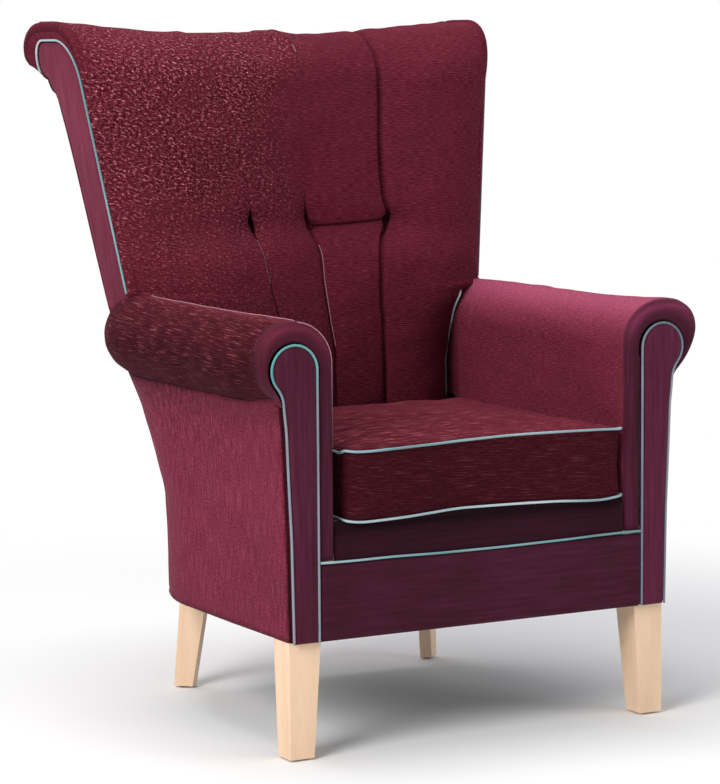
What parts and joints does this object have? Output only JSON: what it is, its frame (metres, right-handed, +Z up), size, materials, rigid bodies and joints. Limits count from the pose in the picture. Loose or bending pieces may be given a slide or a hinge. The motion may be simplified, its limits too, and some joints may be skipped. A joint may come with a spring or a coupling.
{
  "type": "fireside chair",
  "caption": "Upholstered fireside chair with a tall channelled back scrolled over at the top, rolled arms, contrast piping, a loose seat cushion and tapered beech legs.",
  "frame": {"origin": "on the floor, under the middle of the chair's overall width and depth", "axes": "+X across the chair towards the sitter's left as they sit (the right side seen from the front), -Y towards the front, +Z up"},
  "size_m": [0.7712, 0.805, 1.073],
  "materials": {
    "beech": "pale beech, clear satin lacquer",
    "raw_beech": "sawn beech, unfinished",
    "glide": "dark moulded glide",
    "steel": "plain spring steel",
    "webbing": "woven jute-coloured webbing",
    "padding": "needled felt padding",
    "wine_plush": "short burgundy pile",
    "lining": "black spun lining",
    "wine_chenille": "burgundy chenille with a fine horizontal rib and pink flecks",
    "wine_velour": "burgundy velour, nap upright",
    "plum_plush": "smooth plum plush",
    "teal_piping": "pale teal piping with a thread sheen",
    "foam": "open-cell upholstery foam",
    "zip": "nylon coil zip"
  },
  "bodies": {
    "chair": {"front_leg_left": "beech", "front_leg_right": "beech", "rear_leg_left": "beech", "rear_leg_right": "beech", "foot_glides": "glide", "leg_bolts": "steel", "front_seat_rail": "raw_beech", "rear_seat_rail": "raw_beech", "seat_rail_left": "raw_beech", "seat_rail_right": "raw_beech", "corner_blocks": "raw_beech", "arm_post_left": "raw_beech", "arm_post_right": "raw_beech", "arm_rail_left": "raw_beech", "arm_rail_right": "raw_beech", "tacking_rail_left": "raw_beech", "tacking_rail_right": "raw_beech", "back_post_left": "raw_beech", "back_post_right": "raw_beech", "lower_back_rail": "raw_beech", "middle_back_rail": "raw_beech", "top_rail": "raw_beech", "seat_springs": "steel", "spring_clips": "steel", "back_webbing": "webbing", "deck_pad": "padding", "deck_lip": "wine_plush", "dust_cover": "lining", "inner_back": "wine_chenille", "outside_back": "wine_velour", "back_facing_left": "plum_plush", "back_facing_right": "plum_plush", "back_piping_left": "teal_piping", "back_piping_right": "teal_piping", "arm_pad_left": "wine_chenille", "arm_pad_right": "wine_chenille", "arm_front_left": "plum_plush", "arm_front_right": "plum_plush", "arm_piping_left": "teal_piping", "arm_piping_right": "teal_piping", "outside_arm_left": "wine_velour", "outside_arm_right": "wine_velour", "front_border": "plum_plush", "border_piping": "teal_piping", "seam_piping_left": "teal_piping", "seam_piping_right": "teal_piping"},
    "cushion": {"cushion_cover": "wine_chenille", "cushion_foam": "foam", "cushion_piping_top": "teal_piping", "cushion_piping_bottom": "teal_piping", "cushion_zip": "zip"}
  },
  "joints": [
    {"name": "cushion_lift", "type": "slide", "parent": "chair", "child": "cushion", "axis": [0, 0, 1], "range_m": [0, 0.32]}
  ]
}
